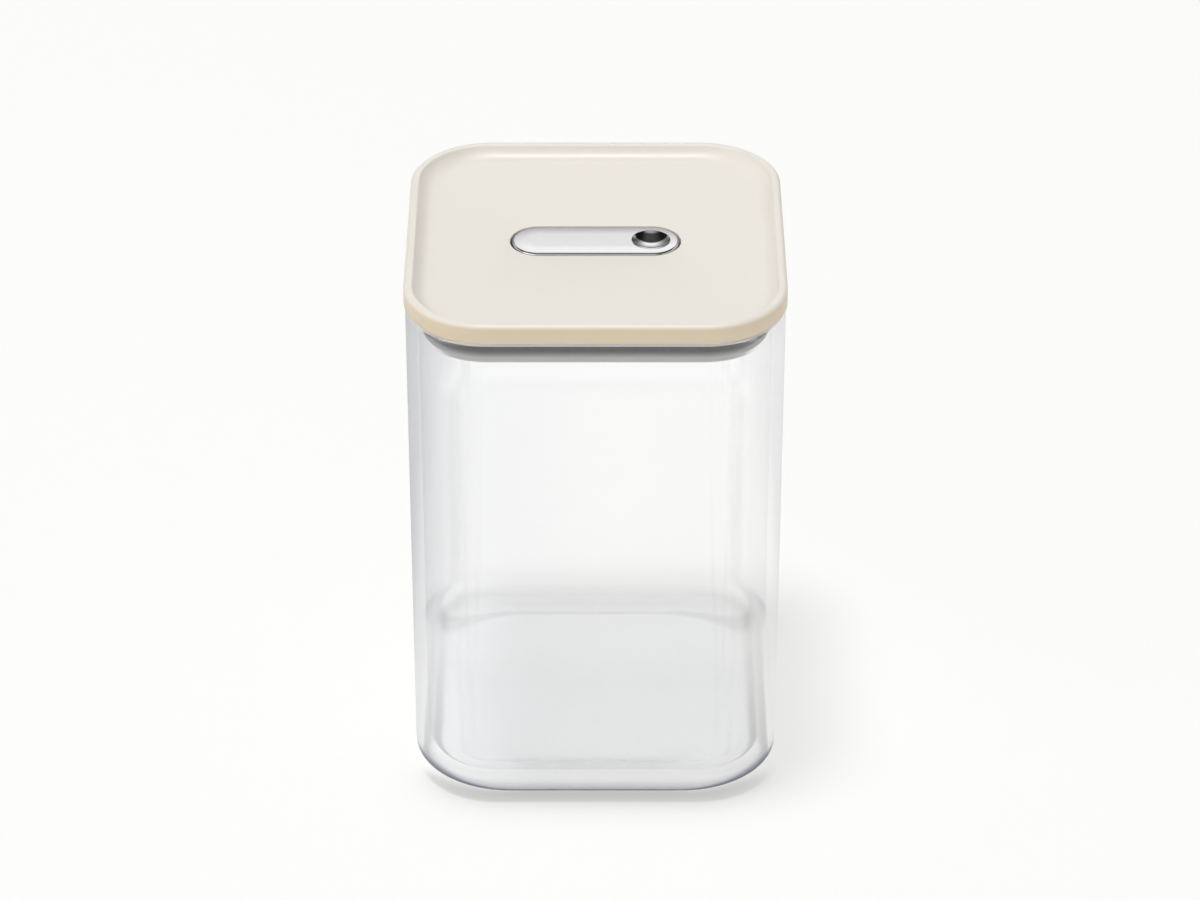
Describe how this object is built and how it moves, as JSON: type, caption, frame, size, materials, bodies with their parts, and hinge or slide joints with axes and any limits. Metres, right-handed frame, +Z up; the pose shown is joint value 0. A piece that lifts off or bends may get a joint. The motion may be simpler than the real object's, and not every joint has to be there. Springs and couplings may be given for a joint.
{
  "type": "food storage jar",
  "caption": "Square clear glass storage jar with a tray-topped lid. Pressing the dished end of its pill lever relaxes the lid's gasket, and the lid lifts off.",
  "frame": {"origin": "on the surface the jar stands on, under the middle of its base", "axes": "+Z up, +X towards the dished end of the lever, -Y towards the viewer of the picture"},
  "size_m": [0.13, 0.13, 0.1977],
  "materials": {
    "clear_glass": "clear, polished",
    "cream_plastic": "fine satin",
    "grey_silicone": "smooth",
    "stainless_steel": "satin",
    "white_acetal": "smooth",
    "polished_chrome": "mirror polished"
  },
  "bodies": {
    "jar": {"glass_jar": "clear_glass"},
    "lid": {"lid_cover": "cream_plastic", "lid_body": "cream_plastic", "gasket": "grey_silicone", "body_screw_1": "stainless_steel", "body_screw_2": "stainless_steel", "body_screw_3": "stainless_steel", "body_screw_4": "stainless_steel", "cam_pad_front": "stainless_steel", "cam_pad_back": "stainless_steel", "lever_bumper": "grey_silicone", "return_spring": "stainless_steel"},
    "plate": {"pressure_plate": "cream_plastic", "draw_bar": "white_acetal", "hinge_pin": "stainless_steel", "draw_screw": "stainless_steel", "screw_seal": "grey_silicone", "screw_cap": "cream_plastic", "spring_washer": "stainless_steel"},
    "lever": {"lever": "polished_chrome"}
  },
  "joints": [
    {"name": "lid_lift", "type": "slide", "parent": "jar", "child": "lid", "axis": [0, 0, 1], "range_m": [0, 0.08]},
    {"name": "plate_drop", "type": "slide", "parent": "lid", "child": "plate", "axis": [0, 0, -1], "range_m": [0, 0.002], "deforming": ["return_spring", "gasket"]},
    {"name": "lever_tilt", "type": "hinge", "parent": "plate", "child": "lever", "pos_m": [0, 0, 0.19], "axis": [0, 1, 0], "range_deg": [0, 20]}
  ],
  "couplings": [
    {"joint": "plate_drop", "follows": "lever_tilt", "m_per_rad": 0.0057295}
  ]
}
